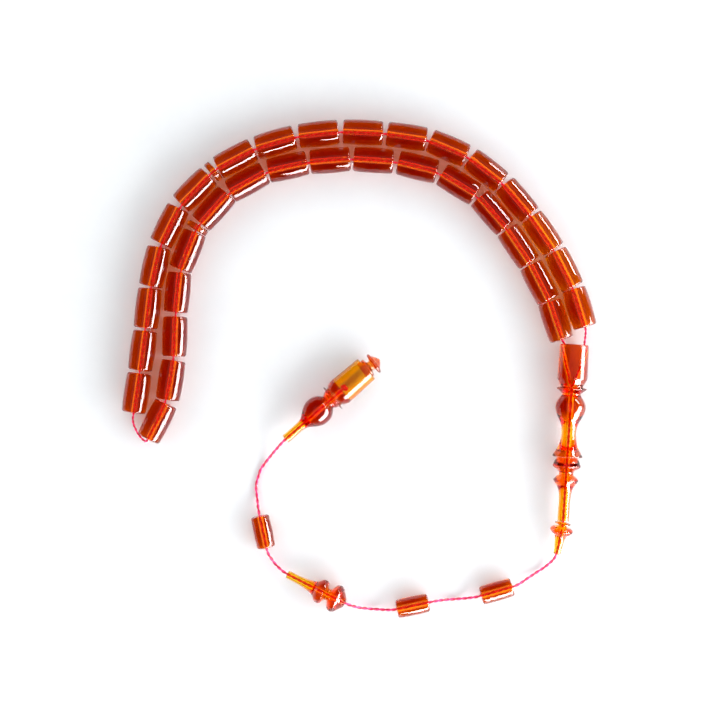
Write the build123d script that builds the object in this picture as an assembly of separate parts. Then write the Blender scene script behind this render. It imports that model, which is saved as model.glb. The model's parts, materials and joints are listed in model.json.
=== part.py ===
"""Misbaha (prayer beads) laid on a table: 33 resin beads and 2 separators on a thread loop,
a turned imame, and a cord tail with small beads, a spacer and a capped finial.

Millimetres, +Z up, the table is Z = 0. Lengths along a turned piece are counted from its thread end.
"""

import os
from math import atan, cos, pi, radians, sin, tan

from build123d import *

# Strand beads and separators
BEAD_LENGTH = 11.9
BEAD_RADIUS = 3.8
BEAD_END_RADIUS = 3.55
BEAD_EDGE = 0.55
BEAD_BORE = 0.7
SEPARATOR_THICKNESS = 1.8
SEPARATOR_RADIUS = 3.35
SEPARATOR_EDGE = 0.5

# Small beads on the tail
SMALL_BEAD_LENGTH = 9.7
SMALL_BEAD_RADIUS = 2.85
SMALL_BEAD_END_RADIUS = 2.7
SMALL_BEAD_BORE = 0.75

# Thread of the loop, and the heavier cord of the imame and the tail
THREAD_RADIUS = 0.3
CORD_RADIUS = 0.43
CORD_BORE = 0.65
END_CLEARANCE = 0.4  # what a thread stops short of the gap that a hinge of the strand opens
CORD_END_GAP = 0.1  # between two lengths of cord that a hinge of the tail joins

# Imame: top of its axis, and its heading in degrees from +X
IMAME_TOP = Vector(64.6, 7.3, 4.52)
IMAME_HEADING = -93.7
HEAD_LENGTH = 33.7
COLLAR_START = 33.9
COLLAR_LENGTH = 19.0
HOLE_OFFSET = 2.9  # from the axis to each of the two thread holes in the top face
HOLES_MEET = 13.0
HOLE_RADIUS = 0.5
TIP_START = 53.3
TIP_HEADING = -100.0
TIP_DROP = 8.0  # degrees below level
TIP_LENGTH = 9.8

# Tail pieces: where each starts, and how it lies
SPACER_TUBE_END = Vector(-21.5, -61.8, 2.35)
SPACER_CONE_END = Vector(-4.2, -70.2, 4.6)
SPACER_LENGTH = 19.3
FINIAL_START = Vector(-22.0, -21.0, 4.4)
FINIAL_HEADING = 41.0
FINIAL_LENGTH = 32.1
CAVITY_START = 22.2
CAVITY_RADIUS = 3.1
CAP_GAP = 0.15
CAP_LEAN = -5.0
PLUG_LENGTH = 1.5
PLUG_RADIUS = 2.8
KNOT_RADIUS = 1.15
KNOT_FLAT = 0.9  # the knot is cut flat at this share of its radius, where the cord meets it

# Thread's way through the strand: one point in each gap between beads, from bead_01's free end to the
# loop's end, the bare arc there, and back to bead_33's free end
OUTER_GAPS = [
    (67.9, 12.5), (64.3, 24.2), (58.6, 35.6), (51.4, 46.0), (43.4, 55.5), (32.8, 63.7), (20.8, 68.8),
    (7.8, 70.7), (-5.4, 71.3), (-18.8, 69.8), (-31.3, 66.2), (-42.8, 60.1), (-44.7, 58.4),
    (-53.8, 49.2), (-59.9, 36.8), (-62.6, 24.5), (-64.1, 11.9), (-65.8, -0.8), (-67.7, -13.5),
]  # fmt: skip
LOOP_END = [
    (-67.95, -15.4, 3.7), (-67.6, -17.2, 2.7), (-66.9, -18.9, 2.0), (-66.0, -20.4, 1.7), (-65.0, -21.4, 2.0),
    (-64.1, -21.9, 2.9),
]  # fmt: skip
INNER_GAPS = [
    (-63.5, -21.4), (-57.6, -9.8), (-55.5, 3.2), (-55.1, 16.3), (-53.8, 29.6), (-49.1, 41.3), (-47.8, 43.4),
    (-39.3, 52.9), (-27.7, 59.3), (-15.0, 62.1), (-2.3, 63.1), (11.0, 62.2), (24.1, 59.0), (35.8, 51.8),
    (44.3, 42.0), (51.3, 31.6), (57.1, 20.3), (60.9, 8.7),
]  # fmt: skip
# Bare thread from the imame's right hole to bead_01, and from bead_33 to the left hole
IMAME_BARE = [(67.63, 7.6, 4.5), (67.8, 9.4, 4.2), (68.1, 11.3, 3.9)]
BARE_TO_IMAME = [(61.2, 8.2, 4.0), (61.5, 7.75, 4.35)]
# The strand bends between its four links at these gaps of the two rows
OUTER_CUTS = [3, 8, 12]
INNER_CUTS = [14, 10, 7]

# The tail cord lies on the table between the pieces that it passes through
TIP_TO_SMALL_1 = [(58.0, -58.0, 2.0), (56.4, -59.6, 0.9), (54.2, -61.1, 0.6), (51.2, -62.9, 1.2)]
SMALL_1 = [Vector(46.1, -65.5, 2.85), Vector(36.7, -68.2, 2.85)]
SMALL_1_TO_2 = [(31.6, -69.3, 0.8), (27.6, -69.6, 0.5), (25.0, -69.7, 1.4)]
SMALL_2 = [Vector(20.9, -70.2, 2.85), Vector(11.4, -72.2, 2.85)]
SMALL_2_TO_SPACER = [(6.4, -72.6, 1.0), (3.2, -72.4, 0.7), (0.0, -71.9, 2.2)]
SPACER_TO_SMALL_3 = [(-23.9, -60.2, 1.5), (-25.3, -58.8, 1.2), (-26.4, -57.2, 1.7)]
SMALL_3 = [Vector(-27.8, -53.8, 2.85), Vector(-29.9, -44.1, 2.85)]
SMALL_3_TO_FINIAL = [
    (-30.7, -39.6, 0.9), (-30.9, -37.4, 0.5), (-31.2, -35.4, 0.46), (-30.5, -32.8, 0.46),
    (-29.7, -30.2, 0.46), (-28.4, -28.5, 0.55), (-26.8, -26.4, 1.2), (-25.0, -24.3, 2.6),
]  # fmt: skip
BARE_RUN = 1.6  # straight cord past each end of a small bead, along which it slides
MOUTH_RUN = 0.9  # straight cord outside every other bore


def heading(degrees_from_x, degrees_down=0.0):
    """Unit vector in the table's plane at this angle from +X, sloping down by the second angle."""
    level = cos(radians(degrees_down))
    turn = radians(degrees_from_x)
    return Vector(level * cos(turn), level * sin(turn), -sin(radians(degrees_down)))


def placed(solid, origin, axis):
    """The solid, moved from the origin and +Z to this point and direction."""
    return Plane(origin=origin, z_dir=axis).location * solid


def placed_flat(solid, origin, axis):
    """Like placed, with the solid's X turned into the table's plane."""
    return Plane(origin=origin, x_dir=heading(IMAME_HEADING + 90), z_dir=axis).location * solid


def turned(*outline):
    """A solid of revolution about Z. The outline runs from the axis at one end to the axis at the other;
    a stretch given as a list is a smooth curve through its points, and a pair is a corner."""
    edges = []
    last = None
    for stretch in outline:
        if isinstance(stretch, list):
            edges.append(Spline(*[(r, 0, z) for r, z in stretch]))
            first, following = stretch[0], stretch[-1]
        else:
            first = following = stretch
        if last is not None:
            edges.append(Line((last[0], 0, last[1]), (first[0], 0, first[1])))
        last = following
    start = outline[0]
    edges.append(Line((last[0], 0, last[1]), (start[0], 0, start[1])))
    return revolve(make_face(edges), axis=Axis.Z)


def bored(solid, radius, start, end):
    """The solid with a round hole along Z between two heights."""
    return solid - Pos(0, 0, start) * Cylinder(
        radius, end - start, align=(Align.CENTER, Align.CENTER, Align.MIN)
    )


def barrel(length, radius, end_radius, edge, bore):
    """A bead centred on the origin along Z: slightly fuller at its middle, with rounded rims."""
    half = length / 2
    side = ThreePointArc((end_radius, -half), (radius, 0), (end_radius, half))
    ends = Polyline((end_radius, half), (bore, half), (bore, -half), (end_radius, -half))
    face = make_face([side, ends])
    rims = [v for v in face.vertices() if v.X > (bore + end_radius) / 2]
    return revolve(Plane.XZ * fillet(rims, edge), axis=Axis.Z)


def on_run(solid, start, end):
    """The solid centred on the run between two points, with its Z along it."""
    return placed(solid, (start + end) / 2, end - start)


def tube(name, points, radius):
    """A cord's solid: straight runs joined by arcs as large as the runs allow."""
    points = [Vector(*p) for p in points]
    runs = [b - a for a, b in zip(points, points[1:])]
    turns = [a.get_angle(b) for a, b in zip(runs, runs[1:])]
    radii = [
        0.45 * min(a.length, b.length) / tan(radians(t / 2)) for a, b, t in zip(runs, runs[1:], turns)
    ]
    path = FilletPolyline(*points, radius=radii) if radii else Line(*points)
    start = Plane(origin=path @ 0, z_dir=path % 0)
    solid = sweep(start * Circle(radius), path=path)
    ratio = solid.volume / (pi * radius**2 * path.length)
    tightest = min(radii, default=0)
    print(f"{name}: {path.length:.1f} long, volume / (section x length) {ratio:.4f}, largest turn"
          f" {max(turns, default=0):.0f}, tightest radius {tightest:.2f}, radii"
          f" {[round(r, 1) for r in radii]}")  # fmt: skip
    return solid


def write(name, *solids):
    """One STEP file for one node."""
    shape = solids[0] if len(solids) == 1 else Compound(list(solids))
    export_step(shape, f"parts/{name}.step")


def on_strand(gaps):
    """Gap points at the height of the beads' bores."""
    return [Vector(x, y, BEAD_RADIUS) for x, y in gaps]


def short_of(point, towards, distance):
    """The point, moved back along its run."""
    return point + (towards - point).normalized() * distance


def imame_point(along, aside=0.0):
    """A point in the imame's own plane: along its axis from the top, and aside towards +X."""
    return IMAME_TOP + heading(IMAME_HEADING) * along + heading(IMAME_HEADING + 90) * aside


def strand_pieces():
    """Node names and solids of the beads and separators, in their order along the thread."""
    bead = barrel(BEAD_LENGTH, BEAD_RADIUS, BEAD_END_RADIUS, BEAD_EDGE, BEAD_BORE)
    separator = barrel(
        SEPARATOR_THICKNESS, SEPARATOR_RADIUS, SEPARATOR_RADIUS - 0.05, SEPARATOR_EDGE, BEAD_BORE
    )
    outer, inner = on_strand(OUTER_GAPS), on_strand(INNER_GAPS)
    runs = list(zip(outer, outer[1:])) + list(zip(inner, inner[1:]))
    pieces = {}
    beads = separators = 0
    for start, end in runs:
        if (end - start).length < BEAD_LENGTH / 2:
            separators += 1
            pieces[f"separator_{separators}"] = on_run(separator, start, end)
        else:
            beads += 1
            pieces[f"bead_{beads:02d}"] = on_run(bead, start, end)
    return pieces


def strand_threads():
    """The loop's thread, cut where the strand's links hinge: each link has a length in both rows, except
    the last, whose one length goes round the loop's end."""
    outer, inner = on_strand(OUTER_GAPS), on_strand(INNER_GAPS)
    threads = {}
    outer_start = [Vector(*p) for p in IMAME_BARE]
    inner_end = [Vector(*p) for p in BARE_TO_IMAME]
    previous = (0, len(inner) - 1)
    for link, (first, last) in enumerate(zip(OUTER_CUTS, INNER_CUTS), start=1):
        there = outer_start + outer[previous[0] : first]
        there.append(short_of(outer[first], outer[first - 1], END_CLEARANCE))
        back = [short_of(inner[last], inner[last + 1], END_CLEARANCE)]
        back += inner[last + 1 : previous[1] + 1] + inner_end
        threads[f"thread_{link}"] = [
            tube(f"thread_{link} outer", there, THREAD_RADIUS),
            tube(f"thread_{link} inner", back, THREAD_RADIUS),
        ]
        outer_start = [short_of(outer[first], outer[first + 1], END_CLEARANCE)]
        inner_end = [short_of(inner[last], inner[last - 1], END_CLEARANCE)]
        previous = (first + 1, last - 1)
    last_link = outer_start + outer[previous[0] :] + [Vector(*p) for p in LOOP_END]
    last_link += inner[: previous[1] + 1] + inner_end
    threads[f"thread_{len(OUTER_CUTS) + 1}"] = [tube("thread_4", last_link, THREAD_RADIUS)]
    return threads


def imame_head():
    """Cup with a chamfered foot, a sharp flange, a bulb, a waist and a bell."""
    body = turned(
        (0, 0),
        (4.0, 0),
        (4.25, 0.25),
        (4.5, 10.2),
        (3.35, 12.4),
        (3.35, 12.7),
        (4.5, 13.1),
        (4.5, 13.3),
        (2.8, 14.7),
        (2.8, 15.1),
        [(2.8, 15.2), (4.2, 17.3), (4.5, 19.2), (3.7, 21.6), (2.6, 23.8), (2.15, 26.3),
         (2.35, 28.6), (3.1, 31.0), (4.5, 33.4)],
        (4.45, HEAD_LENGTH),
        (0, HEAD_LENGTH),
    )  # fmt: skip
    body = bored(body, CORD_BORE, HOLES_MEET - 0.5, HEAD_LENGTH)
    slant = atan(HOLE_OFFSET / HOLES_MEET)
    hole_length = HOLES_MEET / cos(slant) + 1
    for side in (1, -1):
        mouth = Vector(side * HOLE_OFFSET, 0, 0)
        inward = Vector(-side * sin(slant), 0, cos(slant))
        hole = Cylinder(HOLE_RADIUS, hole_length, align=(Align.CENTER, Align.CENTER, Align.MIN))
        body -= placed(hole, mouth - inward, inward)
    return body


def imame_collar():
    """Two discs on a neck, and a long stem."""
    body = turned(
        (0, 0),
        (2.9, 0),
        [(3.05, 0.15), (3.7, 1.1), (4.2, 2.4)],
        (4.2, 2.6),
        [(4.0, 2.9), (2.9, 3.6), (2.2, 4.2)],
        (2.05, 4.7),
        [(2.15, 5.2), (3.0, 5.8), (3.75, 6.7)],
        (3.75, 6.9),
        [(3.5, 7.3), (2.5, 8.7), (1.95, 10.2), (1.7, 12.5)],
        (1.7, COLLAR_LENGTH),
        (0, COLLAR_LENGTH),
    )
    return bored(body, CORD_BORE, 0, COLLAR_LENGTH)


def imame_tip():
    """Thin domed disc, flattened bulb and a narrowing tube."""
    body = turned(
        (0, 0),
        (0.9, 0),
        (2.4, 0.3),
        (2.4, 0.45),
        (1.35, 0.7),
        (1.15, 1.05),
        [(1.5, 1.35), (2.9, 1.75), (3.4, 2.5), (2.9, 3.3), (1.9, 4.1), (1.45, 5.2)],
        (1.05, TIP_LENGTH),
        (0, TIP_LENGTH),
    )
    return bored(body, CORD_BORE, 0, TIP_LENGTH)


def tail_spacer():
    """Trumpet that ends in a disc, a neck, a second disc and a cone, from its tube end."""
    body = turned(
        (0, 0),
        (1.2, 0),
        [(1.2, 0.1), (1.2, 3.8), (1.6, 7.4), (2.2, 9.2), (3.4, 10.5), (3.72, 11.4), (3.4, 12.4)],
        (2.0, 13.0),
        (1.75, 13.3),
        (1.75, 13.9),
        [(2.2, 14.3), (3.5, 14.8), (4.2, 15.8), (4.1, 16.8)],
        (3.6, 17.4),
        (1.2, SPACER_LENGTH),
        (0, SPACER_LENGTH),
    )
    return bored(body, CORD_BORE, 0, SPACER_LENGTH)


def finial_body():
    """Tube, bulb, flange and hollow cup."""
    body = turned(
        (0, 0),
        (1.4, 0),
        [(1.4, 0.1), (1.35, 4.5), (1.6, 7.1), (2.9, 9.0), (4.0, 10.8), (4.38, 12.6), (3.95, 14.9),
         (2.3, 16.9)],
        (2.3, 17.2),
        (2.75, 17.4),
        (2.75, 17.7),
        (3.1, 18.5),
        (4.3, 18.65),
        (4.3, 18.85),
        (3.15, 19.1),
        [(3.15, 19.3), (3.7, 20.2), (4.2, 21.4)],
        (4.25, 21.9),
        (4.0, FINIAL_LENGTH - 0.15),
        (3.85, FINIAL_LENGTH),
        (0, FINIAL_LENGTH),
    )  # fmt: skip
    body = bored(body, CORD_BORE, 0, CAVITY_START)
    return bored(body, CAVITY_RADIUS, CAVITY_START, FINIAL_LENGTH)


def finial_cap():
    """Plug, lid, neck, disc and a small cone, from the plug's inner end."""
    lid = PLUG_LENGTH + CAP_GAP
    return turned(
        (0, 0),
        (PLUG_RADIUS, 0),
        (PLUG_RADIUS, lid),
        (2.95, lid + 0.1),
        (2.95, lid + 0.65),
        (1.6, lid + 0.9),
        (1.45, lid + 1.2),
        (1.5, lid + 1.9),
        (3.1, lid + 2.15),
        (3.3, lid + 2.4),
        (3.3, lid + 2.75),
        (3.05, lid + 3.0),
        (2.5, lid + 3.05),
        (0.5, lid + 4.55),
        (0.3, lid + 4.65),
        (0, lid + 4.65),
    )


def straight_cord(start, end, radius):
    """A straight length of cord between two points."""
    length = (end - start).length
    cord = Cylinder(radius, length, align=(Align.CENTER, Align.CENTER, Align.MIN))
    return placed(cord, start, end - start)


def imame_thread():
    """The loop's two ends run from the holes to the axis and go on as one cord to the collar's end."""
    core = straight_cord(imame_point(HOLES_MEET - 1), imame_point(TIP_START - 0.1), CORD_RADIUS)
    for side in (1, -1):
        core += straight_cord(imame_point(0, side * HOLE_OFFSET), imame_point(HOLES_MEET), THREAD_RADIUS)
    return core


def through(bead):
    """The straight run through a small bead, with a bare length past each end."""
    start, end = bead
    outward = (start - end).normalized() * BARE_RUN
    return [start + outward, end - outward]


def main():
    os.makedirs("parts", exist_ok=True)

    for name, solid in strand_pieces().items():
        write(name, solid)
    for name, solids in strand_threads().items():
        write(name, *solids)

    axis = heading(IMAME_HEADING)
    write("imame_head", placed_flat(imame_head(), IMAME_TOP, axis))
    write("imame_collar", placed(imame_collar(), imame_point(COLLAR_START), axis))
    write("imame_thread", imame_thread())

    tip_start = imame_point(TIP_START)
    tip_axis = heading(TIP_HEADING, TIP_DROP)
    tip_end = tip_start + tip_axis * TIP_LENGTH
    write("imame_tip", placed(imame_tip(), tip_start, tip_axis))
    write("tip_cord", straight_cord(tip_start, tip_end, CORD_RADIUS))

    small_bead = barrel(
        SMALL_BEAD_LENGTH, SMALL_BEAD_RADIUS, SMALL_BEAD_END_RADIUS, BEAD_EDGE, SMALL_BEAD_BORE
    )
    for number, ends in enumerate((SMALL_1, SMALL_2, SMALL_3), start=1):
        write(f"tail_bead_{number}", on_run(small_bead, *ends))

    spacer_axis = SPACER_CONE_END - SPACER_TUBE_END
    write("tail_spacer", placed(tail_spacer(), SPACER_TUBE_END, spacer_axis))
    upper = [tip_end + tip_axis * CORD_END_GAP, tip_end + tip_axis * MOUTH_RUN, *TIP_TO_SMALL_1]
    upper += [*through(SMALL_1), *SMALL_1_TO_2, *through(SMALL_2), *SMALL_2_TO_SPACER]
    upper += [short_of(SPACER_CONE_END, SPACER_TUBE_END, -MOUTH_RUN), SPACER_TUBE_END]
    write("tail_cord_upper", tube("tail_cord_upper", upper, CORD_RADIUS))

    finial_axis = heading(FINIAL_HEADING)
    knot_centre = FINIAL_START + finial_axis * (CAVITY_START + KNOT_RADIUS + 0.1)
    lower = [short_of(SPACER_TUBE_END, SPACER_CONE_END, -CORD_END_GAP)]
    lower += [short_of(SPACER_TUBE_END, SPACER_CONE_END, -MOUTH_RUN), *SPACER_TO_SMALL_3]
    lower += [*through(SMALL_3), *SMALL_3_TO_FINIAL, FINIAL_START - finial_axis * MOUTH_RUN]
    lower.append(knot_centre - finial_axis * KNOT_RADIUS * KNOT_FLAT)
    write("tail_cord_lower", tube("tail_cord_lower", lower, CORD_RADIUS))
    write("finial_body", placed(finial_body(), FINIAL_START, finial_axis))
    cut = 2 * KNOT_RADIUS
    knot = Sphere(KNOT_RADIUS) - Pos(0, 0, -KNOT_RADIUS * KNOT_FLAT - cut / 2) * Box(cut, cut, cut)
    write("end_knot", placed(knot, knot_centre, finial_axis))
    mouth = FINIAL_START + finial_axis * FINIAL_LENGTH
    cap_axis = heading(FINIAL_HEADING + CAP_LEAN)
    write("finial_cap", placed(finial_cap(), mouth - cap_axis * PLUG_LENGTH, cap_axis))


main()
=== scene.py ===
"""Prayer beads of clear red resin on two-ply cords, laid on a pale table.

Metres, +Z up, the table is Z = 0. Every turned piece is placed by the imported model's joints and boxes, and
every cord runs by control points between them.
"""

import json
import math

import bmesh
import bpy
from mathutils import Matrix, Vector
from mathutils.geometry import interpolate_bezier


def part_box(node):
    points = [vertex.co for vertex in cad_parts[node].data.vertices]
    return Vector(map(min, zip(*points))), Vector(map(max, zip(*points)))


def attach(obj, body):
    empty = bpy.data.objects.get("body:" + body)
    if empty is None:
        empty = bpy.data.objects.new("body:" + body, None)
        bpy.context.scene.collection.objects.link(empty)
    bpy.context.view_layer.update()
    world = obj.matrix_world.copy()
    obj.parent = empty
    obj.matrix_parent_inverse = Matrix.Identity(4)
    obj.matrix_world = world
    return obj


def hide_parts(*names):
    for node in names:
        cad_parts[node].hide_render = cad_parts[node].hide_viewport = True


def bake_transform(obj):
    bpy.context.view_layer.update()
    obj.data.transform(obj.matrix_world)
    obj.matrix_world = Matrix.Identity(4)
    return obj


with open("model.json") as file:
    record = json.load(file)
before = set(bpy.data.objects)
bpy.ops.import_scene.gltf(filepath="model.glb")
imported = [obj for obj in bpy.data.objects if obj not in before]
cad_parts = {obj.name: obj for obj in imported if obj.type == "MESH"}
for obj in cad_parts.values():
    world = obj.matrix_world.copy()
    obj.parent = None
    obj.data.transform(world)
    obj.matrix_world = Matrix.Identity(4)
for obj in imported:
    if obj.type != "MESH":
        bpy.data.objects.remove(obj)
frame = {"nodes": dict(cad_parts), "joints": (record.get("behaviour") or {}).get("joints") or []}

MM = 0.001

# View: straight down. The lens and the sensor are in millimetres
VIEW_WIDTH = 216 * MM
VIEW_CENTRE = Vector((0.3, 2.7, 4.0)) * MM
LENS = 85.0
SENSOR = 36.0

# Thread of the loop, and the cord of the imame and the tail: two plies, each a twist of fine yarns
THREAD_DIAMETER = 0.72 * MM
THREAD_LAY = 2.6 * MM
CORD_DIAMETER = 0.86 * MM
CORD_LAY = 3.7 * MM
RINGS_PER_LAY = 12
PLY_SHARE = 0.57  # a ply's radius, as a share of the cord's: the plies press into each other
YARNS = 5
YARN_RELIEF = 0.07  # of a ply's radius
YARN_TWIST = 0.6  # turns of the yarns in a ply for one turn of the plies
ROUND_PLY = 15  # steps round a ply
LINE_STEPS = 24  # points of a smooth line between two of its control points
KNOT_SIZE = 0.28 * MM  # a third of the radius of the knot's centre line
KNOT_STEPS = 60
KNOT_START = 0.35  # where along its closed curve the knot begins and ends

# Strand beads, separators and the tail's small beads
BEAD_LENGTH = 11.9 * MM
BEAD_RADIUS = 3.8 * MM
BEAD_END_RADIUS = 3.55 * MM
SEPARATOR_LENGTH = 1.8 * MM
SEPARATOR_RADIUS = 3.35 * MM
SEPARATOR_END_RADIUS = 3.3 * MM
SEPARATOR_RIM = 0.5 * MM
SMALL_LENGTH = 9.7 * MM
SMALL_RADIUS = 2.85 * MM
SMALL_END_RADIUS = 2.7 * MM
RIM = 0.6 * MM
BORE = 0.6 * MM
FLARE = 0.3 * MM  # how far a bore opens at its mouth
FINE_FLARE = 0.15 * MM
FLARE_DEPTH = 1.6  # how deep the opening goes, as a share of how far it opens
SIDE_STEPS = 12  # steps along a bead's side

# Imame and tail pieces, whose outlines are given from their thread end
HEAD_LENGTH = 33.7 * MM
HOLE_OFFSET = 2.9 * MM  # from the axis to each of the two thread holes in the top
HOLES_MEET = 13.0 * MM
HOLE_RADIUS = 0.5 * MM
HOLE_SIDES = 24
DRILL_EXCESS = 1.0 * MM  # how much longer the drill is than the hole
COLLAR_LENGTH = 19.0 * MM
TIP_LENGTH = 9.8 * MM
SPACER_LENGTH = 19.3 * MM
FINIAL_LENGTH = 32.1 * MM
CAVITY_START = 22.2 * MM
CAVITY_RADIUS = 3.1 * MM
PLUG_LENGTH = 1.5 * MM
PLUG_RADIUS = 2.8 * MM
LID_GAP = 0.15 * MM
EASE = 0.14 * MM  # how far a turned edge is rounded along each of its sides
TIP_EASE = 0.08 * MM
EASE_SHARE = 0.45  # the rounding takes up no more of a side than this
EASE_PULL = 0.6  # how far the rounding's handles reach towards the edge
EASE_STEPS = 5

AROUND = 64  # steps round a turned piece
CURVE_STEPS = 6  # steps between two points of a smooth outline
CORNER = math.radians(22)  # a turn of the outline that is an edge
SAME_PLACE = 1e-7  # points nearer than this are one, and so are the points of a smaller ring

# The loop's route: out of the imame, then one point in each gap between the beads
AXIS_HEIGHT = 0.0038  # of the strand beads above the table
RIGHT_HOLE_OUT = [(0.06763, 0.0076, 0.0045), (0.0678, 0.0094, 0.0042), (0.0681, 0.0113, 0.0039)]
OUTER_GAPS = [(x, y, AXIS_HEIGHT) for x, y in (
    (0.0679, 0.0125), (0.0643, 0.0242), (0.0586, 0.0356), (0.0514, 0.0460), (0.0434, 0.0555),
    (0.0328, 0.0637), (0.0208, 0.0688), (0.0078, 0.0707), (-0.0054, 0.0713), (-0.0188, 0.0698),
    (-0.0313, 0.0662), (-0.0428, 0.0601), (-0.0447, 0.0584), (-0.0538, 0.0492), (-0.0599, 0.0368),
    (-0.0626, 0.0245), (-0.0641, 0.0119), (-0.0658, -0.0008), (-0.0677, -0.0135),
)]
LOOP_END = [
    (-0.06795, -0.0154, 0.0037), (-0.0676, -0.0172, 0.0027), (-0.0669, -0.0189, 0.0020),
    (-0.0660, -0.0204, 0.0017), (-0.0650, -0.0214, 0.0020), (-0.0641, -0.0219, 0.0029),
]
INNER_GAPS = [(x, y, AXIS_HEIGHT) for x, y in (
    (-0.0635, -0.0214), (-0.0576, -0.0098), (-0.0555, 0.0032), (-0.0551, 0.0163), (-0.0538, 0.0296),
    (-0.0491, 0.0413), (-0.0478, 0.0434), (-0.0393, 0.0529), (-0.0277, 0.0593), (-0.0150, 0.0621),
    (-0.0023, 0.0631), (0.0110, 0.0622), (0.0241, 0.0590), (0.0358, 0.0518), (0.0443, 0.0420),
    (0.0513, 0.0316), (0.0571, 0.0203), (0.0609, 0.0087),
)]
LEFT_HOLE_IN = [(0.0612, 0.0082, 0.0040), (0.0615, 0.00775, 0.00435)]
# The strand bends at these gaps. The thread is cut inside the beads between them, so that each bend falls
# within one length of it
OUTER_BENDS = [3, 8, 12]
INNER_BENDS = [7, 10, 14]
CUT_BEADS = ["bead_02", "bead_06", "bead_10", "bead_14", "bead_21", "bead_25", "bead_28", "bead_32"]
BEND_REACH = 1.0 * MM

# The tail cord's route, from the imame's tip to the finial
TIP_TO_SMALL_1 = [
    (0.0580, -0.0580, 0.0020), (0.0564, -0.0596, 0.0009), (0.0542, -0.0611, 0.0006),
    (0.0512, -0.0629, 0.0012),
]
SMALL_1_TO_2 = [(0.0316, -0.0693, 0.0008), (0.0276, -0.0696, 0.0005), (0.0250, -0.0697, 0.0014)]
SMALL_2_TO_SPACER = [(0.0064, -0.0726, 0.0010), (0.0032, -0.0724, 0.0007), (0.0, -0.0719, 0.0022)]
SPACER_TO_SMALL_3 = [(-0.0239, -0.0602, 0.0015), (-0.0253, -0.0588, 0.0012), (-0.0264, -0.0572, 0.0017)]
SMALL_3_TO_FINIAL = [
    (-0.0307, -0.0396, 0.0009), (-0.0309, -0.0374, 0.0005), (-0.0312, -0.0354, 0.00046),
    (-0.0305, -0.0328, 0.00046), (-0.0297, -0.0302, 0.00046), (-0.0284, -0.0285, 0.00055),
    (-0.0268, -0.0264, 0.0012), (-0.0250, -0.0243, 0.0026),
]
BARE_RUN = 1.6 * MM  # straight cord past each end of a small bead
NEAR_END = 2.4 * MM  # from each end of that straight run to a second point on it
MOUTH_RUN = 0.9 * MM  # straight cord outside every other bore
INSIDE = 5.2 * MM  # from the mouth of a long bore to a point on the straight cord in it
TIP_BEND = 1.0 * MM  # how far along the tip its bend runs
# Ways along the table that the two bends of the tail run, from the cord's exit
UPPER_TAIL_BEND = Vector((-2.0, -2.0, 0)) * MM
LOWER_TAIL_BEND = Vector((-1.2, 2.0, 0)) * MM

# Looks. A noise's scale is in waves per metre, or on a cord in waves per lay, and its contrast gives the
# two values of the noise that show the first and the second colour in full

# Silk of the cords, with a painted red glow: they give off red light though they are no lamp
# The plies are one thread: the light ply's pink is a painted sheen highlight and the dark ply's red is
# painted shade
PAINTED_HIGHLIGHT_PLY = [(0.52, 0.008, 0.12), (0.78, 0.08, 0.34)]
PAINTED_SHADE_PLY = [(0.12, 0.0005, 0.01), (0.34, 0.001, 0.04)]
PAINTED_GLOW = 0.45
PAINTED_GLOW_COLOUR = (1.0, 0.0, 0.03)
FIBRE_STRETCH = (14.0, 1.5, 1.0)  # streaks are narrow round the ply and long along it
FIBRE_SCALE = 2.2
FIBRE_CONTRAST = (0.32, 0.66)
FIBRE_RELIEF = 0.35
FIBRE_DEPTH = 0.03 * MM
SILK_ROUGHNESS = 0.42
SILK_SHEEN = 0.35
SHEEN_ROUGHNESS = 0.35

# Table: a board with the slightest grain
BOARD = [(0.90, 0.90, 0.91), (0.93, 0.93, 0.935)]
BOARD_SCALE = 60.0
BOARD_CONTRAST = (0.3, 0.7)
BOARD_RELIEF_SCALE = 1200.0
BOARD_RELIEF = 0.05
BOARD_DEPTH = 0.05 * MM
BOARD_ROUGHNESS = 0.6
TABLE_REACH = 2.0  # from its middle to its edges

# Resin: how much red, green and blue light it absorbs, per metre
DEEP_ABSORPTION = (18.0, 305.0, 2600.0)
# A lighter resin that paints in the window's stronger light on the beads nearest it
WINDOW_LIT_ABSORPTION = (2.0, 225.0, 2400.0)
PALE_ABSORPTION = (5.0, 260.0, 3000.0)
AMBER_ABSORPTION = (12.0, 350.0, 3000.0)
FINIAL_ABSORPTION = (20.0, 400.0, 3000.0)
RESIN_INDEX = 1.54
SWIRLS = [(1.0, 0.93, 0.86), (1.0, 1.0, 1.0)]
SWIRL_SCALE = 160.0
SWIRL_CONTRAST = (0.35, 0.7)
POLISH_SCALE = 900.0
POLISH = (0.005, 0.025)  # roughness where it is polished best and least
WAVE_SCALE = 350.0  # the waves that hand polishing leaves
WAVE_RELIEF = 0.015
WAVE_DEPTH = 0.2 * MM
WINDOW_LIT_BEADS = ["bead_02", "bead_03", "bead_31", "bead_32", "bead_33"]  # nearest the window: their lighter resin is painted light, for the window's stronger light on them

# Light: a wide low window near the beads, a narrow one round the corner, a dim ceiling and bright walls.
# The wide window is brighter in the beads than on the table, the narrow one is seen only in the beads, and
# the walls are never mirrored
WINDOW_AZIMUTH = math.radians(-36)
WINDOW_ELEVATION = math.radians(19)
WINDOW_WIDTH = 1.04
WINDOW_HEIGHT = 0.34
SIDE_WINDOW_AZIMUTH = math.radians(38)
SIDE_WINDOW_ELEVATION = math.radians(16)
SIDE_WINDOW_WIDTH = 0.30
SIDE_WINDOW_HEIGHT = 0.12
WINDOW_DISTANCE = 0.55
WINDOW_RADIANCE = 4.2  # of the wide window, as it lights
WINDOW_MIRRORED = 22.0  # of both windows, as the beads mirror them
WINDOW_COLOUR = (0.96, 0.97, 1.0)
CEILING_HEIGHT = 1.4
CEILING_SIZE = 2.4
CEILING_RADIANCE = 0.2
WALLS = (2.28, 2.38, 2.42)
ABOVE_WALLS = (0.05, 0.05, 0.05)
WALLS_FADE = (0.42, 0.78)  # heights on the unit sphere between which the walls fade out

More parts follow.
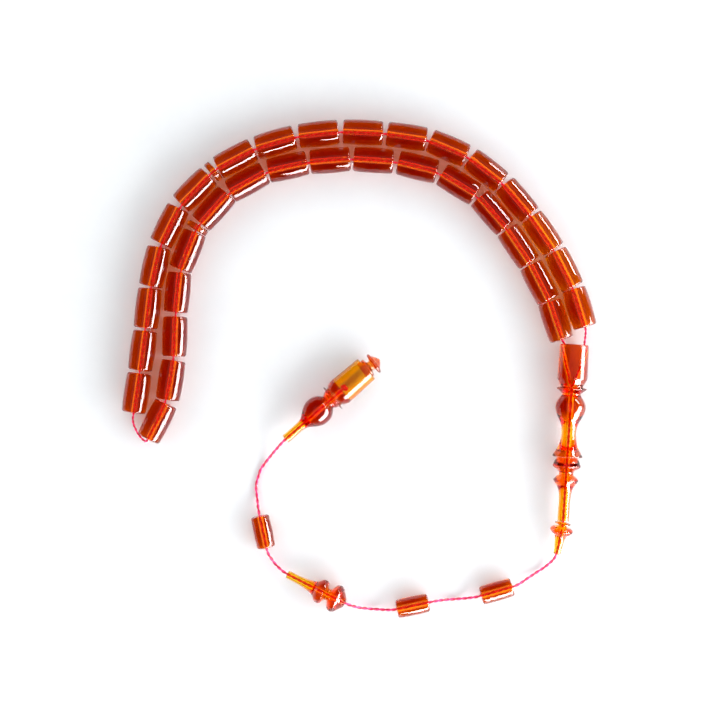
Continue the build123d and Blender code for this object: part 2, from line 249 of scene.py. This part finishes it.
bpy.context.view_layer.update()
axis_of = {j["child"]: Vector(j["axis"]).normalized() for j in frame["joints"]}
pivot_of = {j["child"]: Vector(j["pos_m"]) for j in frame["joints"] if "pos_m" in j}


# ---------------------------------------------------------------- helpers

def middle(node):
    """The centre of a CAD node's box."""
    low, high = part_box(node)
    return (low + high) / 2


def linked(name, data):
    """A new object in the scene."""
    obj = bpy.data.objects.new(name, data)
    bpy.context.scene.collection.objects.link(obj)
    return obj


def mesh_of(name, bm):
    """A smooth mesh from the bmesh, with its faces outwards."""
    bmesh.ops.recalc_face_normals(bm, faces=bm.faces)
    mesh = bpy.data.meshes.new(name)
    bm.to_mesh(mesh)
    bm.free()
    mesh.shade_smooth()
    return mesh


# ---------------------------------------------------------------- camera

def make_camera():
    """Straight above the beads, far enough for the whole view."""
    data = bpy.data.cameras.new("camera")
    data.lens = LENS
    data.sensor_width = SENSOR
    camera = linked("camera", data)
    camera.location = VIEW_CENTRE + Vector((0, 0, VIEW_WIDTH * LENS / SENSOR))
    bpy.context.scene.camera = camera


# ---------------------------------------------------------------- materials

def add_node(tree, kind, **values):
    """A new node, with these of its inputs set."""
    node = tree.nodes.new(kind)
    for key, value in values.items():
        node.inputs[key.replace("_", " ")].default_value = value
    return node


def new_material(name):
    """A material with a bare Principled shader."""
    material = bpy.data.materials.new(name)
    material.use_nodes = True
    return material, material.node_tree, material.node_tree.nodes["Principled BSDF"]


def ramp(tree, source, contrast, colours):
    """A blend of two colours as the source goes from one value of the contrast to the other."""
    node = tree.nodes.new("ShaderNodeValToRGB")
    tree.links.new(source, node.inputs["Fac"])
    for element, place, colour in zip(node.color_ramp.elements, contrast, colours):
        element.position = place
        element.color = (*colour, 1)
    return node.outputs["Color"]


def relief(tree, shader, source, strength, depth):
    """Bump from the source."""
    bump = add_node(tree, "ShaderNodeBump", Strength=strength, Distance=depth)
    tree.links.new(source, bump.inputs["Height"])
    tree.links.new(bump.outputs["Normal"], shader.inputs["Normal"])


def noise(tree, coordinates, scale, detail=3.0, roughness=0.55):
    """Noise over these coordinates."""
    node = add_node(tree, "ShaderNodeTexNoise", Scale=scale, Detail=detail, Roughness=roughness)
    tree.links.new(coordinates, node.inputs["Vector"])
    return node.outputs["Fac"]


def resin(name, absorption):
    """Clear cast resin: absorbs along the way through it, with faint swirls and a hand-polished skin."""
    material, tree, shader = new_material(name)
    place = tree.nodes.new("ShaderNodeTexCoord").outputs["Object"]
    shader.inputs["Transmission Weight"].default_value = 1.0
    shader.inputs["IOR"].default_value = RESIN_INDEX
    swirls = noise(tree, place, SWIRL_SCALE, detail=2.0)
    tree.links.new(ramp(tree, swirls, SWIRL_CONTRAST, SWIRLS), shader.inputs["Base Color"])
    skin = noise(tree, place, POLISH_SCALE)
    best, least = POLISH
    rough = add_node(tree, "ShaderNodeMapRange", To_Min=best, To_Max=least)
    tree.links.new(skin, rough.inputs["Value"])
    tree.links.new(rough.outputs["Result"], shader.inputs["Roughness"])
    relief(tree, shader, noise(tree, place, WAVE_SCALE, detail=2.0), WAVE_RELIEF, WAVE_DEPTH)
    inside = tree.nodes.new("ShaderNodeVolumeAbsorption")
    density = max(absorption)
    inside.inputs["Color"].default_value = (*(1 - a / density for a in absorption), 1)
    inside.inputs["Density"].default_value = density
    tree.links.new(inside.outputs["Volume"], tree.nodes["Material Output"].inputs["Volume"])
    return material


def silky_ply(name, painted_light_colours):
    """A ply of twisted fibres: fine streaks of two colours along it, with a soft sheen and a painted red
    glow. Its colours are painted lighter or darker, as a painted sheen highlight or painted shade on the one
    thread.
    """
    material, tree, shader = new_material(name)
    uv = tree.nodes.new("ShaderNodeUVMap").outputs["UV"]
    stretch = add_node(tree, "ShaderNodeMapping", Scale=FIBRE_STRETCH)
    tree.links.new(uv, stretch.inputs["Vector"])
    fibres = noise(tree, stretch.outputs["Vector"], FIBRE_SCALE, detail=4.0)
    tree.links.new(ramp(tree, fibres, FIBRE_CONTRAST, painted_light_colours), shader.inputs["Base Color"])
    relief(tree, shader, fibres, FIBRE_RELIEF, FIBRE_DEPTH)
    shader.inputs["Roughness"].default_value = SILK_ROUGHNESS
    # Painted glow: red light from the cord, which is no lamp
    shader.inputs["Emission Color"].default_value = (*PAINTED_GLOW_COLOUR, 1)
    shader.inputs["Emission Strength"].default_value = PAINTED_GLOW
    shader.inputs["Sheen Weight"].default_value = SILK_SHEEN
    shader.inputs["Sheen Roughness"].default_value = SHEEN_ROUGHNESS
    return material


def table_top():
    """Smooth near-white board with the slightest grain."""
    material, tree, shader = new_material("table_top")
    place = tree.nodes.new("ShaderNodeTexCoord").outputs["Object"]
    grain = noise(tree, place, BOARD_SCALE, detail=4.0)
    tree.links.new(ramp(tree, grain, BOARD_CONTRAST, BOARD), shader.inputs["Base Color"])
    relief(tree, shader, noise(tree, place, BOARD_RELIEF_SCALE), BOARD_RELIEF, BOARD_DEPTH)
    shader.inputs["Roughness"].default_value = BOARD_ROUGHNESS
    return material


# ---------------------------------------------------------------- cords

def smooth_line(route):
    """Points along the smooth spline that has the route's points as its control points."""
    data = bpy.data.curves.new("route", "CURVE")
    data.dimensions = "3D"
    data.resolution_u = LINE_STEPS
    spline = data.splines.new("NURBS")
    spline.points.add(len(route) - 1)
    for point, place in zip(spline.points, route):
        point.co = (*place, 1)
    spline.order_u = 3
    spline.use_endpoint_u = True
    curve = linked("route", data)
    line = bpy.data.meshes.new_from_object(curve.evaluated_get(bpy.context.evaluated_depsgraph_get()))
    points = [v.co.copy() for v in line.vertices]
    bpy.data.objects.remove(curve)
    bpy.data.meshes.remove(line)
    return points


def run_length(line):
    """The line's length."""
    return sum((b - a).length for a, b in zip(line, line[1:]))


def evenly(points, step):
    """The line again, with its points one step apart."""
    total = run_length(points)
    count = round(total / step)
    spacing = total / count
    even = [points[0]]
    walked = 0.0
    for a, b in zip(points, points[1:]):
        span = (b - a).length
        while len(even) < count and walked + span >= spacing * len(even):
            even.append(a.lerp(b, (spacing * len(even) - walked) / span))
        walked += span
    return [*even, points[-1]]


def framed(line):
    """Each point of the line with the way along it there and one way across, carried on without twist."""
    last = len(line) - 1
    across = (line[1] - line[0]).cross(Vector((0, 0, 1)))
    frames = []
    for i, point in enumerate(line):
        along = (line[min(i + 1, last)] - line[max(i - 1, 0)]).normalized()
        across = (across - along * across.dot(along)).normalized()
        frames.append((point, along, across))
    return frames


def add_ply(bm, frames, first, side, radius):
    """One ply of a cord: a closed tube round the line, whose section shows its twisted yarns."""
    uv = bm.loops.layers.uv.verify()
    ply_radius = radius * PLY_SHARE
    rings = []
    for i, (point, along, across) in enumerate(frames, start=first):
        up = across.cross(along)
        turn = 2 * math.pi * i / RINGS_PER_LAY + side * math.pi
        centre = point + (across * math.cos(turn) + up * math.sin(turn)) * (radius - ply_radius)
        ring = []
        for k in range(ROUND_PLY):
            angle = 2 * math.pi * k / ROUND_PLY
            reach = ply_radius * (1 + YARN_RELIEF * math.cos(YARNS * (angle + YARN_TWIST * turn)))
            ring.append(bm.verts.new(centre + (across * math.cos(angle) + up * math.sin(angle)) * reach))
        rings.append(ring)
    for i, (a, b) in enumerate(zip(rings, rings[1:])):
        for k in range(ROUND_PLY):
            n = (k + 1) % ROUND_PLY
            face = bm.faces.new((a[k], a[n], b[n], b[k]))
            face.material_index = side
            corners = [(k, i), (k + 1, i), (k + 1, i + 1), (k, i + 1)]
            for loop, (u, v) in zip(face.loops, corners):
                loop[uv].uv = (u / ROUND_PLY, (first + v) / RINGS_PER_LAY)
    for ring in (rings[0], rings[-1]):
        bm.faces.new(ring).material_index = side


def twisted(name, frames, first, diameter):
    """A two-ply cord along part of a line. first is the number of its first ring on the whole line, so
    that the twist carries on from the length before it."""
    bm = bmesh.new()
    for side in (0, 1):
        add_ply(bm, frames, first, side, diameter / 2)
    cord = linked(name, mesh_of(name, bm))
    for material in plies:
        cord.data.materials.append(material)
    return cord


def lay_cord(route, diameter, lay, cut_places, lengths):
    """A cord along the route, cut at the places into the lengths, each with a name, where it leaves the
    object or the length before it, and either one body, which it rides on, or two bodies and two points. A
    length with two bodies is only set in place; its bodies and points are not used."""
    line = evenly(smooth_line(route), lay / RINGS_PER_LAY)
    frames = framed(line)
    cuts = [min(range(len(line)), key=lambda i: (line[i] - place).length) for place in cut_places]
    ends = [0, *cuts, len(line) - 1]
    cords = []
    for first, last, (name, leaves, *bodies) in zip(ends, ends[1:], lengths):
        path = line[first : last + 1]
        cord = twisted(name, frames[first : last + 1], first, diameter)
        if len(bodies) == 1:
            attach(cord, bodies[0])
        else:
            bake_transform(cord)
        cords.append((cord, leaves or path[0], path))
    return cords


def about(gaps, k):
    """The two ends of a bend of the strand at this gap."""
    way = (Vector(gaps[k + 1]) - Vector(gaps[k - 1])).normalized() * BEND_REACH
    return Vector(gaps[k]) - way, Vector(gaps[k]) + way


def thread_holes():
    """Where the imame's right and left thread holes open in its top, and where they meet on its axis."""
    top = pivot_of["imame"]
    axis = axis_of["imame_collar"]
    aside = Vector((-axis.y, axis.x, 0)) * HOLE_OFFSET
    return top + aside, top - aside, top + axis * HOLES_MEET


def make_loop():
    """The thread through the strand, from the imame's right hole round to its left one."""
    right, left, meeting = thread_holes()
    route = [
        meeting, right, *RIGHT_HOLE_OUT, *OUTER_GAPS, *LOOP_END, *INNER_GAPS, *LEFT_HOLE_IN, left, meeting
    ]
    outer = [about(OUTER_GAPS, k) for k in OUTER_BENDS]
    inner = [about(INNER_GAPS, k) for k in INNER_BENDS]
    lengths = [
        ("loop_thread_1", right, "imame", "strand_1", right, OUTER_GAPS[0]),
        ("loop_thread_2", None, "strand_1", "strand_2", *outer[0]),
        ("loop_thread_3", None, "strand_2", "strand_3", *outer[1]),
        ("loop_thread_4", None, "strand_3", "strand_4", *outer[2]),
        ("loop_thread_5", None, "strand_4"),
        ("loop_thread_6", None, "strand_4", "strand_3", *inner[0]),
        ("loop_thread_7", None, "strand_3", "strand_2", *inner[1]),
        ("loop_thread_8", None, "strand_2", "strand_1", *inner[2]),
        ("loop_thread_9", None, "strand_1", "imame", INNER_GAPS[-1], left),
    ]
    cords = lay_cord(route, THREAD_DIAMETER, THREAD_LAY, [middle(b) for b in CUT_BEADS], lengths)
    for number, node in {1: "thread_1", 3: "thread_2", 7: "thread_3", 5: "thread_4"}.items():
        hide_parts(node)


def small_bead_run(number):
    """The straight cord through a small bead, with a bare length past each end."""
    node = f"tail_bead_{number}"
    half = SMALL_LENGTH / 2 + BARE_RUN
    places = (-half, NEAR_END - half, half - NEAR_END, half)
    return [middle(node) + axis_of[node] * along for along in places]


def make_knot(place, axis):
    """The overhand knot that holds the finial, tied in the cord's own end."""
    turn = axis.to_track_quat("Z", "Y")
    line = []
    for i in range(KNOT_STEPS):
        t = KNOT_START + 2 * math.pi * i / KNOT_STEPS
        loop = Vector((
            math.sin(t) + 2 * math.sin(2 * t),
            math.cos(t) - 2 * math.cos(2 * t),
            -1.5 * math.sin(3 * t),
        ))
        line.append(place + turn @ (loop * KNOT_SIZE))
    knot = twisted("finial_knot", framed(line), 0, CORD_DIAMETER)
    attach(knot, "tail_lower")
    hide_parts("end_knot")
    return knot


def make_tail():
    """The cord down the imame and along the tail to the knot in the finial."""
    *_, meeting = thread_holes()
    imame_axis = axis_of["imame_collar"]
    tip_start = pivot_of["imame_tip"]
    tip_end = pivot_of["tail_upper"]
    tip_axis = (tip_end - tip_start).normalized()
    tip_bend_end = tip_start + tip_axis * TIP_BEND
    tube_end = pivot_of["tail_spacer"]
    spacer_axis = axis_of["tail_spacer"]
    finial = pivot_of["finial_body"]
    finial_axis = axis_of["finial_body"]
    knot_place = middle("end_knot")
    spacer_places = (SPACER_LENGTH + MOUTH_RUN, SPACER_LENGTH - INSIDE, INSIDE, -MOUTH_RUN)
    spacer_run = [tube_end + spacer_axis * along for along in spacer_places]
    route = [
        meeting, tip_start - imame_axis * MOUTH_RUN, tip_start + tip_axis * MOUTH_RUN,
        tip_end + tip_axis * MOUTH_RUN, *TIP_TO_SMALL_1, *small_bead_run(1), *SMALL_1_TO_2,
        *small_bead_run(2), *SMALL_2_TO_SPACER, *spacer_run, *SPACER_TO_SMALL_3, *small_bead_run(3),
        *SMALL_3_TO_FINIAL, finial - finial_axis * MOUTH_RUN, finial + finial_axis * INSIDE, knot_place,
    ]
    cut_places = [(tip_start + tip_end) / 2, tube_end + spacer_axis * (SPACER_LENGTH / 2)]
    lengths = [
        ("core_cord", meeting, "imame", "imame_tip", tip_start, tip_bend_end),
        ("upper_tail_cord", tip_end, "imame_tip", "tail_upper", tip_end, tip_end + UPPER_TAIL_BEND),
        ("lower_tail_cord", tube_end, "tail_upper", "tail_lower", tube_end, tube_end + LOWER_TAIL_BEND),
    ]
    core, upper, lower = lay_cord(route, CORD_DIAMETER, CORD_LAY, cut_places, lengths)
    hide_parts("imame_thread", "tip_cord")
    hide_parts("tail_cord_upper")
    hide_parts("tail_cord_lower")
    make_knot(knot_place, finial_axis)


# ---------------------------------------------------------------- turned pieces

def through_points(points):
    """A smooth curve through the points, as close points."""
    points = [Vector(p) for p in points]
    last = len(points) - 1
    ways = [(points[min(i + 1, last)] - points[max(i - 1, 0)]).normalized() for i in range(last + 1)]
    curve = []
    for a, b, way_a, way_b in zip(points, points[1:], ways, ways[1:]):
        third = (b - a).length / 3
        curve += interpolate_bezier(a, a + way_a * third, b - way_b * third, b, CURVE_STEPS + 1)[:-1]
    return [*curve, points[-1]]


def point_at(line, walked, distance):
    """The point this far along the line."""
    i = max(k for k in range(len(line) - 1) if walked[k] <= distance)
    return line[i].lerp(line[i + 1], (distance - walked[i]) / (walked[i + 1] - walked[i]))


def eased(line, reach):
    """The outline with each of its edges rounded over."""
    walked = [0.0]
    for a, b in zip(line, line[1:]):
        walked.append(walked[-1] + (b - a).length)
    edges = [
        i for i in range(1, len(line) - 1) if (line[i] - line[i - 1]).angle(line[i + 1] - line[i]) > CORNER
    ]
    stops = [0.0, *(walked[i] for i in edges), walked[-1]]
    result = []
    done = -1.0
    for n, i in enumerate(edges, start=1):
        before = stops[n] - min(reach, EASE_SHARE * (stops[n] - stops[n - 1]))
        after = stops[n] + min(reach, EASE_SHARE * (stops[n + 1] - stops[n]))
        result += [p for p, s in zip(line, walked) if done < s < before]
        a = point_at(line, walked, before)
        b = point_at(line, walked, after)
        handles = (a.lerp(line[i], EASE_PULL), b.lerp(line[i], EASE_PULL))
        result += interpolate_bezier(a, *handles, b, EASE_STEPS)
        done = after
    return result + [p for p, s in zip(line, walked) if s > done]


def outline(*stretches, ease=EASE):
    """A turned outline in metres from one in millimetres: pairs are corners, and a list is a smooth curve
    through its points."""
    line = []
    for stretch in stretches:
        line += through_points(stretch) if isinstance(stretch, list) else [Vector(stretch)]
    return eased([p * MM for p in line], ease)


def revolved(name, line, start, axis):
    """A solid of revolution. Its outline is closed on itself, or runs from the axis to the axis."""
    bm = bmesh.new()
    place = Matrix.Translation(start) @ axis.to_track_quat("Z", "Y").to_matrix().to_4x4()
    hollow = (line[0] - line[-1]).length < SAME_PLACE
    rings = []
    for radius, along in line[:-1] if hollow else line:
        ring = []
        for k in range(AROUND if radius > SAME_PLACE else 1):
            turn = 2 * math.pi * k / AROUND
            corner = Vector((radius * math.cos(turn), radius * math.sin(turn), along))
            ring.append(bm.verts.new(place @ corner))
        rings.append(ring)
    pairs = list(zip(rings, rings[1:])) + ([(rings[-1], rings[0])] if hollow else [])
    for a, b in pairs:
        for k in range(AROUND):
            n = (k + 1) % AROUND
            corners = [a[k % len(a)], a[n % len(a)], b[n % len(b)], b[k % len(b)]]
            bm.faces.new(list(dict.fromkeys(corners)))
    return linked(name, mesh_of(name, bm))


def finished(piece, material, body, node):
    """Gives a turned piece its resin, body and CAD node."""
    piece.data.materials.append(material)
    piece.modifiers.new("even_shading", "WEIGHTED_NORMAL")
    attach(piece, body)
    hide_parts(node)


def bored_outline(length, flare, *profile, ease=EASE):
    """The outline of a piece with a bore all the way, from the middle of the bore round to it again. Takes
    millimetres, but for the ease, and gives metres."""
    bore = BORE / MM
    depth = flare * FLARE_DEPTH
    return outline(
        (bore, length / 2), (bore, depth), (bore + flare, 0), *profile,
        (bore + flare, length), (bore, length - depth), (bore, length / 2), ease=ease,
    )


def barrel_outline(length, radius, end_radius, rim):
    """A bead's outline, in metres: slightly fuller at its middle, with well rounded rims."""
    length, radius, end_radius = (value / MM for value in (length, radius, end_radius))
    side = []
    for k in range(SIDE_STEPS + 1):
        share = k / SIDE_STEPS
        bulge = 1 - (2 * share - 1) ** 2
        side.append((end_radius + (radius - end_radius) * bulge, length * share))
    return bored_outline(length, FLARE / MM, *side, ease=rim)


def turned_bead(node, line, length, material):
    """One bead on its CAD node's axis."""
    start = middle(node) - axis_of[node] * (length / 2)
    finished(revolved(f"{node}_resin", line, start, axis_of[node]), material, node, node)


def make_beads():
    """The strand's beads and separators, and the tail's small beads."""
    bead = barrel_outline(BEAD_LENGTH, BEAD_RADIUS, BEAD_END_RADIUS, RIM)
    small = barrel_outline(SMALL_LENGTH, SMALL_RADIUS, SMALL_END_RADIUS, RIM)
    separator = barrel_outline(SEPARATOR_LENGTH, SEPARATOR_RADIUS, SEPARATOR_END_RADIUS, SEPARATOR_RIM)
    for node in sorted(frame["nodes"]):
        if node.startswith("bead_"):
            turned_bead(node, bead, BEAD_LENGTH, window_lit_bead_resins.get(node, deep_resin))
        if node.startswith("separator_"):
            turned_bead(node, separator, SEPARATOR_LENGTH, deep_resin)
        if node.startswith("tail_bead_"):
            turned_bead(node, small, SMALL_LENGTH, amber_resin)


def tail_piece(node, line, start, axis, material):
    """One turned piece of the imame or the tail."""
    finished(revolved(f"{node}_resin", line, start, axis), material, node, node)


def imame_head_outline():
    """Cup with a chamfered foot, a sharp flange, a bulb, a waist and a bell, bored from below."""
    length = HEAD_LENGTH / MM
    bore = BORE / MM
    bore_end = (HOLES_MEET - HOLE_RADIUS) / MM
    return outline(
        (0, 0), (4.0, 0), (4.25, 0.25), (4.5, 10.2), (3.35, 12.4), (3.35, 12.7), (4.5, 13.1), (4.5, 13.3),
        (2.8, 14.7), (2.8, 15.1),
        [(2.8, 15.2), (4.2, 17.3), (4.5, 19.2), (3.7, 21.6), (2.6, 23.8), (2.15, 26.3), (2.35, 28.6),
         (3.1, 31.0), (4.5, 33.4)],
        (4.45, length), (bore, length), (bore, bore_end), (0, bore_end),
    )


def drill_thread_holes(piece):
    """The two slanted holes that bring the loop's ends to the imame's axis."""
    right, left, meeting = thread_holes()
    drill = bmesh.new()
    for mouth in (right, left):
        way = meeting - mouth
        place = Matrix.Translation(mouth + way / 2) @ way.to_track_quat("Z", "Y").to_matrix().to_4x4()
        bmesh.ops.create_cone(
            drill, cap_ends=True, segments=HOLE_SIDES, radius1=HOLE_RADIUS, radius2=HOLE_RADIUS,
            depth=way.length + DRILL_EXCESS, matrix=place,
        )
    holes = linked("thread_holes", mesh_of("thread_holes", drill))
    cut = piece.modifiers.new("holes", "BOOLEAN")
    cut.operation = "DIFFERENCE"
    cut.solver = "EXACT"
    cut.use_self = True
    cut.object = holes
    drilled = bpy.data.meshes.new_from_object(piece.evaluated_get(bpy.context.evaluated_depsgraph_get()))
    piece.modifiers.remove(cut)
    piece.data = drilled
    bpy.data.objects.remove(holes)


def make_imame():
    """Head, collar and tip."""
    axis = axis_of["imame_collar"]
    head = revolved("imame_head_resin", imame_head_outline(), pivot_of["imame"], axis)
    drill_thread_holes(head)
    finished(head, pale_resin, "imame", "imame_head")
    collar = bored_outline(
        COLLAR_LENGTH / MM, FINE_FLARE / MM,
        (2.9, 0), [(3.05, 0.15), (3.7, 1.1), (4.2, 2.4)], (4.2, 2.6),
        [(4.0, 2.9), (2.9, 3.6), (2.2, 4.2)], (2.05, 4.7), [(2.15, 5.2), (3.0, 5.8), (3.75, 6.7)],
        (3.75, 6.9), [(3.5, 7.3), (2.5, 8.7), (1.95, 10.2), (1.7, 12.5)], (1.7, COLLAR_LENGTH / MM),
    )
    tail_piece("imame_collar", collar, pivot_of["imame_collar"], axis, amber_resin)
    tip = bored_outline(
        TIP_LENGTH / MM, FINE_FLARE / MM,
        (0.9, 0), (2.4, 0.3), (2.4, 0.45), (1.35, 0.7), (1.15, 1.05),
        [(1.5, 1.35), (2.9, 1.75), (3.4, 2.5), (2.9, 3.3), (1.9, 4.1), (1.45, 5.2)],
        (1.05, TIP_LENGTH / MM), ease=TIP_EASE,
    )
    tip_start = pivot_of["imame_tip"]
    tip_axis = (pivot_of["tail_upper"] - tip_start).normalized()
    tail_piece("imame_tip", tip, tip_start, tip_axis, amber_resin)


def make_spacer():
    """Trumpet that ends in a disc, a neck, a second disc and a cone."""
    line = bored_outline(
        SPACER_LENGTH / MM, FINE_FLARE / MM, (1.2, 0),
        [(1.2, 0.1), (1.2, 3.8), (1.6, 7.4), (2.2, 9.2), (3.4, 10.5), (3.72, 11.4), (3.4, 12.4)],
        (2.0, 13.0), (1.75, 13.3), (1.75, 13.9), [(2.2, 14.3), (3.5, 14.8), (4.2, 15.8), (4.1, 16.8)],
        (3.6, 17.4), (1.2, SPACER_LENGTH / MM),
    )
    tail_piece("tail_spacer", line, pivot_of["tail_spacer"], axis_of["tail_spacer"], amber_resin)


def make_finial():
    """Tube, bulb, flange and hollow cup, and the cap in its mouth."""
    length = FINIAL_LENGTH / MM
    bore = BORE / MM
    cavity = CAVITY_RADIUS / MM
    body = outline(
        (bore, length / 4), (bore, 0.25), (bore + 0.15, 0), (1.4, 0),
        [(1.4, 0.1), (1.35, 4.5), (1.6, 7.1), (2.9, 9.0), (4.0, 10.8), (4.38, 12.6), (3.95, 14.9),
         (2.3, 16.9)],
        (2.3, 17.2), (2.75, 17.4), (2.75, 17.7), (3.1, 18.5), (4.3, 18.65), (4.3, 18.85), (3.15, 19.1),
        [(3.15, 19.3), (3.7, 20.2), (4.2, 21.4)], (4.25, 21.9), (4.0, length - 0.15), (3.85, length),
        (cavity, length), (cavity, CAVITY_START / MM), (bore, CAVITY_START / MM), (bore, length / 4),
    )
    start = pivot_of["finial_body"]
    axis = axis_of["finial_body"]
    tail_piece("finial_body", body, start, axis, finial_resin)
    plug = PLUG_RADIUS / MM
    lid = (PLUG_LENGTH + LID_GAP) / MM
    cap = outline(
        (0, 0), (plug, 0), (plug, lid), (2.95, lid + 0.1), (2.95, lid + 0.65), (1.6, lid + 0.9),
        (1.45, lid + 1.2), (1.5, lid + 1.9), (3.1, lid + 2.15), (3.3, lid + 2.4), (3.3, lid + 2.75),
        (3.05, lid + 3.0), (2.5, lid + 3.05), (0.5, lid + 4.55), (0.3, lid + 4.65), (0, lid + 4.65),
    )
    cap_axis = axis_of["finial_cap"]
    cap_start = start + axis * FINIAL_LENGTH - cap_axis * PLUG_LENGTH
    tail_piece("finial_cap", cap, cap_start, cap_axis, finial_resin)


# ---------------------------------------------------------------- surroundings

def make_table():
    """A wide flat board under the beads."""
    bm = bmesh.new()
    bmesh.ops.create_grid(bm, x_segments=8, y_segments=8, size=TABLE_REACH)
    table = linked("table", mesh_of("table", bm))
    table.data.materials.append(table_top())


def facing_beads(obj, azimuth, elevation, distance):
    """Places a light or a panel in this direction, facing the beads."""
    level = math.cos(elevation)
    towards = Vector((level * math.cos(azimuth), level * math.sin(azimuth), math.sin(elevation)))
    obj.location = towards * distance
    obj.rotation_mode = "QUATERNION"
    obj.rotation_quaternion = towards.to_track_quat("Z", "Y")


def soft_box(name, azimuth, elevation, distance, width, height, radiance, colour):
    """A rectangular light in this direction, that the camera doesn't see."""
    data = bpy.data.lights.new(name, "AREA")
    data.shape = "RECTANGLE"
    data.size = width
    data.size_y = height
    data.energy = radiance * math.pi * width * height
    data.color = colour
    light = linked(name, data)
    light.visible_camera = False
    facing_beads(light, azimuth, elevation, distance)
    return light


def bright_pane(name, azimuth, elevation, distance, width, height):
    """A window that is only seen mirrored. It lights nothing, so it casts no red light through a bead."""
    bm = bmesh.new()
    corners = [(-width, -height), (width, -height), (width, height), (-width, height)]
    bm.faces.new([bm.verts.new((x / 2, y / 2, 0)) for x, y in corners])
    pane = linked(name, mesh_of(name, bm))
    material, _, shader = new_material(name)
    shader.inputs["Emission Color"].default_value = (*WINDOW_COLOUR, 1)
    shader.inputs["Emission Strength"].default_value = WINDOW_MIRRORED
    shader.inputs["Base Color"].default_value = (0, 0, 0, 1)
    shader.inputs["Specular IOR Level"].default_value = 0.0
    material.cycles.emission_sampling = "NONE"
    pane.data.materials.append(material)
    pane.visible_camera = False
    pane.visible_diffuse = False
    pane.visible_transmission = False
    pane.visible_shadow = False
    facing_beads(pane, azimuth, elevation, distance)


def make_windows():
    """The wide window's daylight, and both windows as they are mirrored."""
    wide = (WINDOW_AZIMUTH, WINDOW_ELEVATION, WINDOW_DISTANCE, WINDOW_WIDTH, WINDOW_HEIGHT)
    side = (
        SIDE_WINDOW_AZIMUTH, SIDE_WINDOW_ELEVATION, WINDOW_DISTANCE, SIDE_WINDOW_WIDTH, SIDE_WINDOW_HEIGHT
    )
    bright_pane("wide_window", *wide)
    bright_pane("side_window", *side)
    daylight = soft_box("daylight", *wide, WINDOW_RADIANCE, WINDOW_COLOUR)
    daylight.visible_glossy = False
    daylight.visible_transmission = False


def make_room():
    """The ceiling and the walls."""
    size = (CEILING_SIZE, CEILING_SIZE)
    soft_box("ceiling", 0, math.pi / 2, CEILING_HEIGHT, *size, CEILING_RADIANCE, (1, 1, 1))
    world = bpy.data.worlds.new("room")
    world.use_nodes = True
    bpy.context.scene.world = world
    tree = world.node_tree
    direction = tree.nodes.new("ShaderNodeTexCoord").outputs["Generated"]
    split = tree.nodes.new("ShaderNodeSeparateXYZ")
    tree.links.new(direction, split.inputs["Vector"])
    walls = ramp(tree, split.outputs["Z"], WALLS_FADE, [WALLS, ABOVE_WALLS])
    tree.links.new(walls, tree.nodes["Background"].inputs["Color"])
    world.cycles_visibility.glossy = False
    bpy.context.scene.view_settings.view_transform = "Standard"


make_camera()
# One ply is painted dark as painted shade, and one is painted light as a painted sheen highlight
plies = [silky_ply("cord_ply_painted_shade", PAINTED_SHADE_PLY), silky_ply("cord_ply_painted_highlight", PAINTED_HIGHLIGHT_PLY)]
make_loop()
make_tail()
deep_resin = resin("deep_resin", DEEP_ABSORPTION)
pale_resin = resin("pale_resin", PALE_ABSORPTION)
amber_resin = resin("amber_resin", AMBER_ABSORPTION)
finial_resin = resin("finial_resin", FINIAL_ABSORPTION)
window_lit_resin = resin("window_lit_resin", WINDOW_LIT_ABSORPTION)
# Painted light: bead_01 takes the paler resin and the beads nearest the window take the lighter one, for the
# window's stronger light on them
window_lit_bead_resins = {"bead_01": pale_resin, **dict.fromkeys(WINDOW_LIT_BEADS, window_lit_resin)}
make_beads()
make_imame()
make_spacer()
make_finial()
make_table()
make_windows()
make_room()
